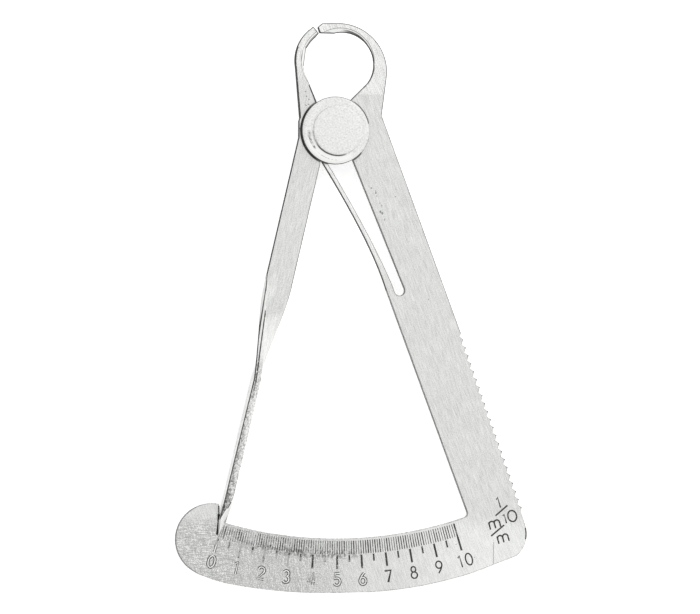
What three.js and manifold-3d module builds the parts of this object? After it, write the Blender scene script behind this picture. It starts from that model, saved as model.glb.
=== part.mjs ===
// A spring-closed wax caliper. Two levers of steel sheet cross at a riveted pivot without changing sides.
// Squeezing the limbs opens the jaws, and the needle of the left lever reads the opening on the scale band.
// Millimetres. The plates lie flat: +Z faces the reader, +Y points at the jaws, the pivot axis is X = Y = 0.
// Z = 0 is the rear face of the rivet.
import * as THREE from "three";
import { mergeVertices } from "three/addons/utils/BufferGeometryUtils.js";
import Module from "manifold-3d";

// The sheet that both levers are cut from.
const sheetThickness = 1.3;

// Fits.
const faceClearance = 0.03;
const boreClearance = 0.06;
const lapClearance = 0.15;
const overrun = 1;

// The turned pieces of the pivot.
const shankRadius = 1.5;
const tailRadius = 2.6;
const tailHeight = 0.45;
const headRadius = 4.4;
const headHeight = 0.6;
const headEase = 0.25;
const headCrown = 0.1;
const rearWasherRadius = 5;
const rearWasherThickness = 0.5;
const frontWasherRadius = 6;
const frontWasherThickness = 1.1;
const rimSlopeRun = 0.6;
const rimSlopeDrop = 0.22;
const turnedEdge = 0.14;
const hubRadius = 3.6;

// The measuring jaws. Their tips meet at tipRadius from the pivot, left of the centre line.
const tipRadius = 17.6;
const tipAngle = 10.3;
const tipGap = 0.12;
const leftTipFace = 1.6;
const leftTipLean = 43;
const rightTipFace = 1.1;
const rightTipLean = 20;
const rightTipShoulder = 1.04;
const rightTipShoulderLean = -48;
const leftOuter = { x: -0.5, y: 12.45, radius: 7, from: 125, to: 188.6 };
const leftInner = { x: -0.02, y: 11.95, radius: 5.95, from: 129, to: 195.7 };
const rightOuter = { x: 0.34, y: 10.5, radius: 8.62, from: 91, to: -3 };
const rightInner = { x: 1, y: 11.88, radius: 5.62, from: -36.5, to: 105 };
const leftRootLean = 21.5;
const rightRootLean = 45;
const jawBevelWidth = 0.45;
const jawBevelDepth = 0.5;
const jawBevelShift = 0.35;

// The pointer arm: a flat strip, a quarter twist and a blade that stands on edge.
const armAngle = 13.13;
const armOffset = 3.95;
const armWidth = 4.8;
const shoulderReach = 6.81;
const shoulderTop = 1.7;
const shoulderStep = 0.45;
const twistStart = 27.6;
const twistLength = 18.6;
const twistSteps = 40;
const needleBevelBefore = 3.7;
const needleBevelPast = 1.1;
const needleReach = 2.6;
const needleTip = 0.2;
const needleRoot = 0.2;
const needleLean = 0.2;
const needleTipHeight = 0.2;
const prongReach = 1.7;
const prongBevel = 1.1;
const scaleClearance = 0.25;
const forkClearance = 0.45;

// The frame's limb.
const limbAngle = 20.2;
const limbOuterOffset = 8.47;
const limbInnerOffset = 1.45;
const neckHeight = 2.8;
const gripStart = 41.7;
const gripTeeth = 22;
const gripPitch = 1.5;
const gripDepth = 0.4;
const gripTaper = 0.42;
const gripPeakShare = 0.45;

// The scale band and its round ends.
const bandInnerRadius = 72.1;
const bandWidth = 9.9;
const cornerRadius = 5.04;
const cornerAngle = 22.1;
const lobeRadius = 6.4;
const lobeAngle = 17.1;
const stopGap = 0.13;
const innerCornerEase = 0.8;

// The spring tongue and the slot that frees it.
const slotAngle = 22.1;
const slotOffset = 0.66;
const slotEnd = 30.35;
const tongueRootWidth = 1.3;
const tongueTipWidth = 0.72;
const tongueRoot = 29.4;
const tongueRootGap = 0.3;
const tongueTipGap = 0.12;
const tongueTipRadius = 5.85;
const tongueBendShare = 0.355;
const tongueSteps = 16;

// Roundness of the curves.
const arcSteps = 24;
const turnSteps = 64;
const easeSteps = 6;

// Levels along the pivot axis.
const sheetBack = tailHeight + rearWasherThickness + 2 * faceClearance;
const sheetFront = sheetBack + sheetThickness;
const sheetMiddle = (sheetBack + sheetFront) / 2;
const bandOuterRadius = bandInnerRadius + bandWidth;
const lapRadius = hubRadius + lapClearance;

const degree = Math.PI / 180;

// The arm's own directions: along runs down the arm, across points to the right of it.
const armAlong = new THREE.Vector2(-Math.sin(armAngle * degree), -Math.cos(armAngle * degree));
const armAcross = new THREE.Vector2(-armAlong.y, armAlong.x);
const limbAlong = new THREE.Vector2(Math.sin(limbAngle * degree), -Math.cos(limbAngle * degree));
const limbAcross = new THREE.Vector2(-limbAlong.y, limbAlong.x);
const slotAlong = new THREE.Vector2(Math.sin(slotAngle * degree), -Math.cos(slotAngle * degree));
const slotAcross = new THREE.Vector2(-slotAlong.y, slotAlong.x);

const wasm = await Module();
wasm.setup();

// A point that lies so far across and along one of the strips, counted from the pivot.
function place(acrossAxis, alongAxis, across, along) {
  return new THREE.Vector2()
    .addScaledVector(acrossAxis, across)
    .addScaledVector(alongAxis, along);
}

const onArm = (across, along) => place(armAcross, armAlong, across, along);
const onLimb = (across, along) => place(limbAcross, limbAlong, across, along);
const onSlot = (across, along) => place(slotAcross, slotAlong, across, along);

// How far along a strip an edge at this offset reaches the circle round the pivot.
const alongAtRadius = (offset, radius) => Math.sqrt(radius * radius - offset * offset);

// A point by its distance from the pivot and its angle, in degrees anticlockwise from +X.
function polar(radius, angle) {
  return new THREE.Vector2(radius * Math.cos(angle * degree), radius * Math.sin(angle * degree));
}

// A point that lies a length away from another, leaning so many degrees left of +Y.
function leaning(point, length, lean) {
  return new THREE.Vector2(-Math.sin(lean * degree), Math.cos(lean * degree))
    .multiplyScalar(length)
    .add(point);
}

// The points of an arc, both ends included.
function arc(centre, radius, from, to, steps = arcSteps) {
  return Array.from({ length: steps + 1 }, (_, i) =>
    polar(radius, from + ((to - from) * i) / steps).add(centre),
  );
}

const jawArc = (jaw) => arc(new THREE.Vector2(jaw.x, jaw.y), jaw.radius, jaw.from, jaw.to);
const angleOf = (point) => Math.atan2(point.y, point.x) / degree;

// A closed geometry as a solid for cutting and joining.
function solid(geometry) {
  const bare = geometry.index ? geometry.toNonIndexed() : geometry.clone();
  bare.deleteAttribute("normal");
  bare.deleteAttribute("uv");
  const merged = mergeVertices(bare, 1e-5);
  const corners = merged.index.array;
  const kept = [];
  for (let i = 0; i < corners.length; i += 3) {
    const [a, b, c] = corners.slice(i, i + 3);
    if (a !== b && b !== c && c !== a) kept.push(a, b, c);
  }
  return new wasm.Manifold(
    new wasm.Mesh({
      numProp: 3,
      vertProperties: merged.attributes.position.array,
      triVerts: new Uint32Array(kept),
    }),
  );
}

// A plate with this outline between two levels.
function plate(outline, low, high) {
  const geometry = new THREE.ExtrudeGeometry(new THREE.Shape(outline), {
    depth: high - low,
    bevelEnabled: false,
  });
  return solid(geometry.translate(0, 0, low));
}

// A piece turned about an axis along Z. The profile runs anticlockwise in radius and height.
function turned(profile, x = 0, y = 0) {
  const points = profile.map(([radius, height]) => new THREE.Vector2(radius, height));
  points.push(points[0].clone());
  const geometry = new THREE.LatheGeometry(points, turnSteps);
  return solid(geometry.rotateX(Math.PI / 2).translate(x, y, 0));
}

const disc = (radius, low, high) =>
  turned([
    [0, low],
    [radius, low],
    [radius, high],
    [0, high],
  ]);

// A strip whose section turns as it goes: rings of corners joined into one closed skin.
function loft(rings) {
  const sides = rings[0].length;
  const positions = rings.flat().flatMap((corner) => corner.toArray());
  const faces = [];
  for (let i = 0; i + 1 < rings.length; i++) {
    for (let j = 0; j < sides; j++) {
      const a = i * sides + j;
      const b = i * sides + ((j + 1) % sides);
      faces.push(a, b, b + sides, a, b + sides, a + sides);
    }
  }
  const last = (rings.length - 1) * sides;
  for (let j = 1; j + 1 < sides; j++) {
    faces.push(0, j + 1, j, last, last + j, last + j + 1);
  }
  const geometry = new THREE.BufferGeometry();
  geometry.setAttribute("position", new THREE.Float32BufferAttribute(positions, 3));
  geometry.setIndex(faces);
  return solid(geometry);
}

// The bore and the hub of one lever: each hub is half as thick as the sheet, and laps over the other.
function lapped(lever, hubLow, hubHigh, pocketLow, pocketHigh) {
  const hub = disc(hubRadius, hubLow, hubHigh);
  const pocket = disc(lapRadius, pocketLow, pocketHigh);
  const bore = disc(shankRadius + boreClearance, sheetBack - overrun, sheetFront + overrun);
  return lever.subtract(pocket).add(hub).subtract(bore);
}

// The sloping flat along the inner front edge of a jaw, as the cone that cuts it.
function jawBevel(jaw, shiftX) {
  const spread = (jawBevelWidth / jawBevelDepth) * (jawBevelDepth + overrun);
  const cone = [
    [0, sheetFront - jawBevelDepth],
    [jaw.radius, sheetFront - jawBevelDepth],
    [jaw.radius + spread, sheetFront + overrun],
    [0, sheetFront + overrun],
  ];
  return turned(cone, jaw.x + shiftX, jaw.y + jawBevelShift);
}

// Where the tip faces of the two jaws start, at their inner corners.
const tipBearing = 90 + tipAngle;
const leftTipInner = polar(tipRadius, tipBearing);
const rightTipInner = polar(tipRadius, tipBearing - tipGap / tipRadius / degree);

// The point where a jaw's inner edge, going down from its arc, is well inside the hub.
function jawRoot(arcEnd, lean) {
  const towards = leaning(new THREE.Vector2(), -1, lean);
  return arcEnd.clone().addScaledVector(towards, -arcEnd.dot(towards));
}

// The flat of the pointer: jaw, shoulder and the strip down to the twist.
function pointerOutline() {
  const left = -armOffset - armWidth / 2;
  const right = -armOffset + armWidth / 2;
  const shoulderAlong = (-shoulderReach - armAcross.x * left) / armAlong.x;
  const inner = jawArc(leftInner).reverse();
  const root = jawRoot(inner[0], leftRootLean);
  return [
    onArm(right, twistStart + overrun),
    onArm(right, shankRadius),
    root,
    ...inner,
    leftTipInner,
    leaning(leftTipInner, leftTipFace, leftTipLean),
    ...jawArc(leftOuter),
    new THREE.Vector2(-shoulderReach + shoulderStep, shoulderTop + shoulderStep),
    new THREE.Vector2(-shoulderReach, shoulderTop),
    onArm(left, shoulderAlong),
    onArm(left, twistStart + overrun),
  ];
}

// The share of the quarter turn that is done at a share of the way through the twist.
const turnShare = (share) => (share * (3 - share)) / 2;

// The four corners of the strip's section, turned about its own centre line.
function armSection(along, turn) {
  const centre = onArm(-armOffset, along);
  const [cos, sin] = [Math.cos(turn), Math.sin(turn)];
  const corners = [
    [-armWidth, -sheetThickness],
    [armWidth, -sheetThickness],
    [armWidth, sheetThickness],
    [-armWidth, sheetThickness],
  ];
  return corners.map(([width, depth]) => {
    const across = (width * cos + depth * sin) / 2;
    const up = (depth * cos - width * sin) / 2;
    const spot = centre.clone().addScaledVector(armAcross, across);
    return new THREE.Vector3(spot.x, spot.y, sheetMiddle + up);
  });
}

// The quarter twist that sets the strip on edge.
function twist() {
  const rings = [armSection(twistStart - overrun, 0)];
  for (let i = 0; i <= twistSteps; i++) {
    const share = i / twistSteps;
    rings.push(armSection(twistStart + share * twistLength, turnShare(share) * (Math.PI / 2)));
  }
  rings.push(armSection(twistStart + twistLength + overrun, Math.PI / 2));
  return loft(rings);
}

// Distances down the arm at which the blade's end is shaped, and the levels of its fork.
const bladeEdge = alongAtRadius(armOffset + sheetThickness / 2, bandInnerRadius);
const needleEnd = alongAtRadius(armOffset + needleLean, bandInnerRadius + needleReach);
const forkFront = sheetFront + scaleClearance;
const forkBack = sheetBack - scaleClearance;

// The blade, seen from its side: the needle in front of the scale, and a prong that stays behind it.
function blade() {
  const low = sheetMiddle - armWidth / 2;
  const high = sheetMiddle + armWidth / 2;
  const prongEnd = bladeEdge + prongReach;
  const profile = [
    [twistStart + twistLength, low],
    [prongEnd - prongBevel, low],
    [prongEnd, Math.min(low + prongBevel, forkBack)],
    [prongEnd, forkBack],
    [bladeEdge - forkClearance, forkBack],
    [bladeEdge - forkClearance, forkFront],
    [needleEnd, forkFront],
    [needleEnd, high],
    [twistStart + twistLength, high],
  ];
  const shape = new THREE.Shape(profile.map(([along, up]) => new THREE.Vector2(along, up)));
  const geometry = new THREE.ExtrudeGeometry(shape, { depth: sheetThickness, bevelEnabled: false });
  const along = new THREE.Vector3(armAlong.x, armAlong.y, 0);
  const across = new THREE.Vector3(armAcross.x, armAcross.y, 0);
  const up = new THREE.Vector3(0, 0, 1);
  const start = onArm(-armOffset + sheetThickness / 2, 0);
  geometry.applyMatrix4(
    new THREE.Matrix4()
      .makeBasis(along, up, across.negate())
      .setPosition(start.x, start.y, 0),
  );
  return sharpened(solid(geometry));
}

// The blade's end ground to a needle: a little off its left side, and one oblique flat off its right front edge.
function sharpened(blank) {
  const half = sheetThickness / 2;
  const high = sheetMiddle + armWidth / 2;
  const root = bladeEdge - needleRoot;
  const tip = -armOffset - needleLean - needleTip / 2;
  const left = [
    onArm(-armOffset - half, root),
    onArm(tip, needleEnd),
    onArm(tip, needleEnd + overrun),
    onArm(-armOffset - half - overrun, needleEnd + overrun),
    onArm(-armOffset - half - overrun, root),
  ];
  const corner = (across, along, up) => {
    const spot = onArm(across, along);
    return new THREE.Vector3(spot.x, spot.y, up);
  };
  const flat = new THREE.Plane().setFromCoplanarPoints(
    corner(-armOffset - half, bladeEdge + needleBevelPast, high),
    corner(-armOffset + half, bladeEdge - needleBevelBefore, high),
    corner(-armOffset - needleLean, needleEnd, forkFront + needleTipHeight),
  );
  return blank
    .subtract(plate(left, sheetMiddle, high + overrun))
    .trimByPlane(flat.normal.toArray(), -flat.constant);
}

function pointerArm() {
  const flat = plate(pointerOutline(), sheetBack, sheetFront).subtract(jawBevel(leftInner, 0));
  const hubBack = sheetMiddle + faceClearance / 2;
  const lever = lapped(flat, hubBack, sheetFront, sheetBack - overrun, hubBack);
  return lever.add(twist()).add(blade());
}

// The thumb edge: teeth along the limb's outer side, which comes in a little towards its foot.
function gripEdge() {
  const points = [];
  const length = gripTeeth * gripPitch;
  for (let i = 0; i < gripTeeth; i++) {
    const valley = i * gripPitch;
    const peak = valley + gripPitch * gripPeakShare;
    const inset = (along) => limbOuterOffset - (gripTaper * along) / length;
    points.push(onLimb(inset(valley) - gripDepth, gripStart + valley));
    points.push(onLimb(inset(peak), gripStart + peak));
  }
  points.push(onLimb(limbOuterOffset - gripTaper - gripDepth, gripStart + length));
  return points;
}

// The round corner at the limb's foot, from its tangent through the last tooth to the scale band's outer edge.
function footCorner(lastTooth) {
  const centre = polar(bandOuterRadius - cornerRadius, -90 + cornerAngle);
  const away = lastTooth.clone().sub(centre);
  const open = Math.acos(Math.min(1, cornerRadius / away.length())) / degree;
  return arc(centre, cornerRadius, angleOf(away) - open, -90 + cornerAngle);
}

// The blade's left side where it crosses the scale band's edge: the stop face stands just beside it.
const stopFace = onArm(-armOffset - sheetThickness / 2, bladeEdge).x - stopGap;

// The round lobe at the scale's left end, up to the stop face.
function stopLobe() {
  const centre = polar(bandOuterRadius - lobeRadius, -90 - lobeAngle);
  const top = Math.acos((stopFace - centre.x) / lobeRadius) / degree;
  return arc(centre, lobeRadius, 270 - lobeAngle, top);
}

// The corner between the scale band and the limb, eased by a small curve.
function innerCorner() {
  const along = alongAtRadius(limbInnerOffset, bandInnerRadius);
  const corner = onLimb(-limbInnerOffset, along);
  const before = polar(bandInnerRadius, angleOf(corner) - innerCornerEase / bandInnerRadius / degree);
  const after = onLimb(-limbInnerOffset, along - innerCornerEase);
  return new THREE.QuadraticBezierCurve(before, corner, after).getPoints(arcSteps / 4);
}

// Across the limb at this distance along it: the slot's right wall, and the tongue's right edge at its root.
const slotWallAcross = (along) =>
  slotOffset + along * Math.tan((slotAngle - limbAngle) * degree);
const tongueRightAcross = -limbInnerOffset + tongueRootWidth;

// The slot's closed end: the tongue's stub, a half round and the right wall up to the hub.
function slotEdge() {
  const wall = slotWallAcross(slotEnd);
  const radius = (wall - tongueRightAcross) / 2;
  const centre = onLimb((wall + tongueRightAcross) / 2, slotEnd);
  const stub = tongueRoot + tongueRootGap / 2;
  const left = 180 + angleOf(limbAcross);
  return [
    onLimb(-limbInnerOffset, stub),
    onLimb(tongueRightAcross, stub),
    ...arc(centre, radius, left, left + 180, arcSteps / 2),
    onSlot(slotOffset, shankRadius),
  ];
}

function frameOutline() {
  const neckAlong = (limbAcross.y * limbOuterOffset - neckHeight) / -limbAlong.y;
  const grip = gripEdge();
  const corner = innerCorner();
  const stopFoot = -90 - Math.asin(-stopFace / bandInnerRadius) / degree;
  const bandEnd = angleOf(corner[0]);
  const inner = jawArc(rightInner);
  const tipOuter = leaning(rightTipInner, rightTipFace, rightTipLean);
  return [
    onLimb(limbOuterOffset, neckAlong),
    onLimb(limbOuterOffset, gripStart - gripDepth),
    ...grip,
    ...footCorner(grip.at(-2)),
    ...arc(new THREE.Vector2(), bandOuterRadius, -90 + cornerAngle, -90 - lobeAngle).slice(1, -1),
    ...stopLobe(),
    ...arc(new THREE.Vector2(), bandInnerRadius, stopFoot, bandEnd).slice(0, -1),
    ...corner,
    ...slotEdge(),
    jawRoot(inner[0], -rightRootLean),
    ...inner,
    rightTipInner,
    tipOuter,
    leaning(tipOuter, rightTipShoulder, rightTipShoulderLean),
    ...jawArc(rightOuter),
  ];
}

function scaleFrame() {
  const sheet = plate(frameOutline(), sheetBack, sheetFront);
  const flat = sheet.subtract(jawBevel(rightInner, -jawBevelShift));
  const hubFront = sheetMiddle - faceClearance / 2;
  return lapped(flat, sheetBack, hubFront, hubFront, sheetFront + overrun);
}

// The leaf tongue: a curved strip from its root in the limb to the pointer arm's inner edge under the disc.
function returnSpring() {
  const rootAlong = tongueRoot - tongueRootGap / 2;
  const root = onLimb(tongueRightAcross - tongueRootWidth / 2, rootAlong);
  const tipAcross = -armOffset + armWidth / 2 + tongueTipGap + tongueTipWidth / 2;
  const tip = onArm(tipAcross, alongAtRadius(tipAcross, tongueTipRadius));
  const bend = root.clone().addScaledVector(limbAlong, -tongueBendShare * root.distanceTo(tip));
  const line = new THREE.QuadraticBezierCurve(root, bend, tip);
  const left = [];
  const right = [];
  for (let i = 0; i <= tongueSteps; i++) {
    const share = i / tongueSteps;
    const at = line.getPoint(share);
    const ahead = line.getTangent(share);
    const aside = new THREE.Vector2(ahead.y, -ahead.x);
    const half = (tongueTipWidth + (tongueRootWidth - tongueTipWidth) * (1 - share) ** 3) / 2;
    left.push(at.clone().addScaledVector(aside, -half));
    right.push(at.clone().addScaledVector(aside, half));
  }
  const ahead = angleOf(line.getTangent(1));
  const cap = arc(tip, tongueTipWidth / 2, ahead - 90, ahead + 90, arcSteps / 2).slice(1, -1);
  return plate([...right, ...cap, ...left.reverse()], sheetBack, sheetFront);
}

// The rivet: closing head, shank and the raised, slightly crowned head in front.
function pivotRivet() {
  const headBack = sheetFront + frontWasherThickness + 2 * faceClearance;
  const headFront = headBack + headHeight;
  const flat = headRadius - headEase;
  const ease = arc(new THREE.Vector2(flat, headFront - headEase), headEase, 0, 90, easeSteps);
  const crown = Array.from({ length: easeSteps }, (_, i) => {
    const share = 1 - (i + 1) / easeSteps;
    return [share * flat, headFront + headCrown * (1 - share * share)];
  });
  return turned([
    [0, 0],
    [tailRadius - turnedEdge, 0],
    [tailRadius, turnedEdge],
    [tailRadius, tailHeight],
    [shankRadius, tailHeight],
    [shankRadius, headBack],
    [headRadius, headBack],
    ...ease.map((point) => point.toArray()),
    ...crown,
  ]);
}

const washerBore = shankRadius + boreClearance;

// The disc in front, whose face slopes down a little towards its rim.
function frontWasher() {
  const low = sheetFront + faceClearance;
  const high = low + frontWasherThickness;
  return turned([
    [washerBore, low],
    [frontWasherRadius, low],
    [frontWasherRadius, high - rimSlopeDrop],
    [frontWasherRadius - rimSlopeRun, high],
    [washerBore, high],
  ]);
}

function rearWasher() {
  const low = tailHeight + faceClearance;
  const high = low + rearWasherThickness;
  return turned([
    [washerBore, low],
    [rearWasherRadius - turnedEdge, low],
    [rearWasherRadius, low + turnedEdge],
    [rearWasherRadius, high],
    [washerBore, high],
  ]);
}

// A named mesh with the finish of its steel.
function piece(name, made, finish) {
  const { numProp, vertProperties, triVerts } = made.getMesh();
  const count = vertProperties.length / numProp;
  const positions = new Float32Array(count * 3);
  for (let i = 0; i < count; i++) {
    positions.set(vertProperties.subarray(i * numProp, i * numProp + 3), i * 3);
  }
  const geometry = new THREE.BufferGeometry();
  geometry.setAttribute("position", new THREE.BufferAttribute(positions, 3));
  geometry.setIndex(new THREE.BufferAttribute(triVerts, 1));
  geometry.computeVertexNormals();
  const mesh = new THREE.Mesh(geometry, new THREE.MeshStandardMaterial(finish));
  mesh.name = name;
  return mesh;
}

const brushed = { color: 0xd9d9d6, roughness: 0.42, metalness: 1 };
const polished = { color: 0xe2e2e0, roughness: 0.28, metalness: 1 };

const frameGroup = new THREE.Group();
frameGroup.add(piece("scale_frame", scaleFrame(), brushed));
frameGroup.add(piece("return_spring", returnSpring(), brushed));
frameGroup.add(piece("pivot_rivet", pivotRivet(), polished));
frameGroup.add(piece("front_washer", frontWasher(), polished));
frameGroup.add(piece("rear_washer", rearWasher(), polished));

const pointerGroup = new THREE.Group();
pointerGroup.add(piece("pointer_arm", pointerArm(), brushed));

const caliper = new THREE.Group();
caliper.add(frameGroup, pointerGroup);

export default caliper;
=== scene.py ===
# %% [markdown]
# A wax caliper: two flat steel levers on one rivet. The jaws at the top close on a wall of wax or metal, and the
# pointer at the bottom shows its thickness on an arc scale, ten times enlarged.
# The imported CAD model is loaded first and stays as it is. Everything that follows dresses it: edges are eased,
# steel gets its brushing, and the scale gets its lines and numbers. Units are metres, +Z faces the reader.

# %% Load the model
import math

import bmesh
import bpy
import numpy as np
from mathutils import Matrix, Vector


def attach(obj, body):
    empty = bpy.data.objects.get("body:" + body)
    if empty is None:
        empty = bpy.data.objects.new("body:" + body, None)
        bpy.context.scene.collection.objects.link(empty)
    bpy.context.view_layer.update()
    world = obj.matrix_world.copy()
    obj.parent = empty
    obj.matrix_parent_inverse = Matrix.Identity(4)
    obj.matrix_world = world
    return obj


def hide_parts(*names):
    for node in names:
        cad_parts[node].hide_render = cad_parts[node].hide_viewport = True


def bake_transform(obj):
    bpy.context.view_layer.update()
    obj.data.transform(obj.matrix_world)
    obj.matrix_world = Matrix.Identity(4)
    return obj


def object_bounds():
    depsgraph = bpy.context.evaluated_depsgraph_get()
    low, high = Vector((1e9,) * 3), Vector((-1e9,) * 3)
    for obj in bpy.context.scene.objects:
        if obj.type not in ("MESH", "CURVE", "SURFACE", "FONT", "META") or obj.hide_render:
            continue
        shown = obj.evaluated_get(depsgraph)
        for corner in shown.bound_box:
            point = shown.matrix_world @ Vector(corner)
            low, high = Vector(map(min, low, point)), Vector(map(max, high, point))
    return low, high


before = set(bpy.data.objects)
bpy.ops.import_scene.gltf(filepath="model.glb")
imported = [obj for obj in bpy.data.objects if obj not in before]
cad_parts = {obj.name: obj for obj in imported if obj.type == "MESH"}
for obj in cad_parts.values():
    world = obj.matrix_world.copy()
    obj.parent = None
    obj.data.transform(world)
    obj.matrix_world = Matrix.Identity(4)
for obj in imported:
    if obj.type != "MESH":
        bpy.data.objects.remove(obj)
cad_low, cad_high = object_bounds()
print("model box, mm:", [round(1000 * x, 2) for x in (*cad_low, *cad_high)])

# %% [markdown]
# The sizes that the finish has to follow. They say where the drawing puts the sheet, the scale and the pointer, so
# that each mark lands where the real one does. Lengths are in millimetres here, and mm turns them into metres.

# %% Sizes from the drawing
mm = 0.001
SHEET_BACK, SHEET_FRONT = 1.01 * mm, 2.31 * mm
SHEET_MIDDLE = (SHEET_BACK + SHEET_FRONT) / 2
ARM_ANGLE, LIMB_ANGLE = math.radians(13.13), math.radians(20.2)
ARM_DOWN = Vector((-math.sin(ARM_ANGLE), -math.cos(ARM_ANGLE), 0))
ARM_RIGHT = Vector((math.cos(ARM_ANGLE), -math.sin(ARM_ANGLE), 0))
BAND_INNER = 72.1 * mm
DISC_RADIUS, DISC_SHIFT, BOSS_RADIUS = 6.0 * mm, -0.35 * mm, 4.4 * mm
TIP_RADIUS = 17.6 * mm
ARM_OFFSET, TWIST_START, TWIST_LENGTH = 3.95 * mm, 27.6 * mm, 18.6 * mm
LIMB_DOWN = Vector((math.sin(LIMB_ANGLE), -math.cos(LIMB_ANGLE), 0))
LIMB_RIGHT = Vector((math.cos(LIMB_ANGLE), math.sin(LIMB_ANGLE), 0))

# %% [markdown]
# The photograph was taken from almost straight above, leaning to the lower left, so that the walls which face left
# show as thin dark lines. A long lens keeps the two levers free of perspective. The camera aims at the point of the
# sheet that lies in the middle of the picture, and its distance follows from how many pixels a millimetre takes.

# %% Camera
PICTURE_WIDTH, PICTURE_HEIGHT = 700, 614
PIXELS_PER_MM = 5.655
PIVOT_PIXEL = (336.9, 130.55)
LEAN, LEAN_TOWARDS = math.radians(8), math.radians(195)


def in_scene(name, data):
    """A new object at the origin, linked to the scene."""
    made = bpy.data.objects.new(name, data)
    bpy.context.scene.collection.objects.link(made)
    return made


camera_data = bpy.data.cameras.new("camera")
camera_data.lens, camera_data.sensor_width = 260, 36
camera_data.clip_start, camera_data.clip_end = 0.01, 10
camera = in_scene("camera", camera_data)
bpy.context.scene.camera = camera

picture_span = PICTURE_WIDTH / PIXELS_PER_MM * mm
camera_distance = picture_span * camera_data.lens / camera_data.sensor_width
aim = Vector(
    (
        (PICTURE_WIDTH / 2 - PIVOT_PIXEL[0]) / PIXELS_PER_MM * mm,
        (PIVOT_PIXEL[1] - PICTURE_HEIGHT / 2) / PIXELS_PER_MM * mm,
        SHEET_FRONT,
    )
)
backwards = Vector(
    (
        math.sin(LEAN) * math.cos(LEAN_TOWARDS),
        math.sin(LEAN) * math.sin(LEAN_TOWARDS),
        math.cos(LEAN),
    )
)
rightwards = Vector((0, 1, 0)).cross(backwards).normalized()
upwards = backwards.cross(rightwards)
camera.matrix_world = Matrix.Translation(aim + backwards * camera_distance) @ Matrix(
    (rightwards, upwards, backwards)
).transposed().to_4x4()
print("camera distance, mm:", round(camera_distance / mm))


# %% [markdown]
# Shader maths reads best as formulas. This small class wraps one output socket of a material, and its operators add
# the Math nodes for plus, minus, times and so on. Any other node comes from one method of the material, which takes
# the node's type, its settings and what goes into its sockets.

# %% Formulas for materials
class Value:
    """One output socket that can be used in a formula."""

    def __init__(self, finish, socket):
        self.finish, self.socket = finish, socket

    def maths(self, operation, *others):
        values = {i: v for i, v in enumerate((self, *others))}
        return self.finish.node("Math", values, operation=operation)

    def __add__(self, other):
        return self.maths("ADD", other)

    def __sub__(self, other):
        return self.maths("SUBTRACT", other)

    def __mul__(self, other):
        return self.maths("MULTIPLY", other)

    def __truediv__(self, other):
        return self.maths("DIVIDE", other)

    def __rsub__(self, other):
        return self.finish.node("Math", {0: other, 1: self}, operation="SUBTRACT")

    __radd__, __rmul__ = __add__, __mul__

    def at_least(self, other):
        return self.maths("MAXIMUM", other)

    def clipped(self):
        """Kept between 0 and 1."""
        return self.at_least(0.0).maths("MINIMUM", 1.0)

    def ramp(self, low, high):
        """0 below low, 1 above high, with a soft step between them. Low may be the larger one."""
        if low > high:
            return 1 - self.ramp(high, low)
        return self.finish.node(
            "MapRange", {0: self, 1: low, 2: high, 3: 0.0, 4: 1.0}, interpolation_type="SMOOTHSTEP"
        )

    def between(self, low, top, end, high):
        """1 from top to end, fading to 0 at low and at high. The four are in millimetres."""
        return self.ramp(low * mm, top * mm) * self.ramp(high * mm, end * mm)


class Tree:
    """A node tree whose nodes are made one by one."""

    def __init__(self, tree):
        self.tree = tree
        tree.nodes.clear()

    def node(self, kind, values=None, output=0, **settings):
        made = self.tree.nodes.new(kind if "Node" in kind else "ShaderNode" + kind)
        for key, setting in settings.items():
            setattr(made, key, setting)
        for key, value in (values or {}).items():
            if isinstance(value, Value):
                self.tree.links.new(value.socket, made.inputs[key])
            else:
                made.inputs[key].default_value = value
        return Value(self, made.outputs[output]) if made.outputs else None


# %% [markdown]
# A finish is a tree with a few more words: where a point lies in its piece, how far it reaches in a direction, noise
# of a given size, and the shaders that end it. Every place is read from the object's own coordinates, so a pattern
# stays on the steel when the pointer moves.

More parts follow.
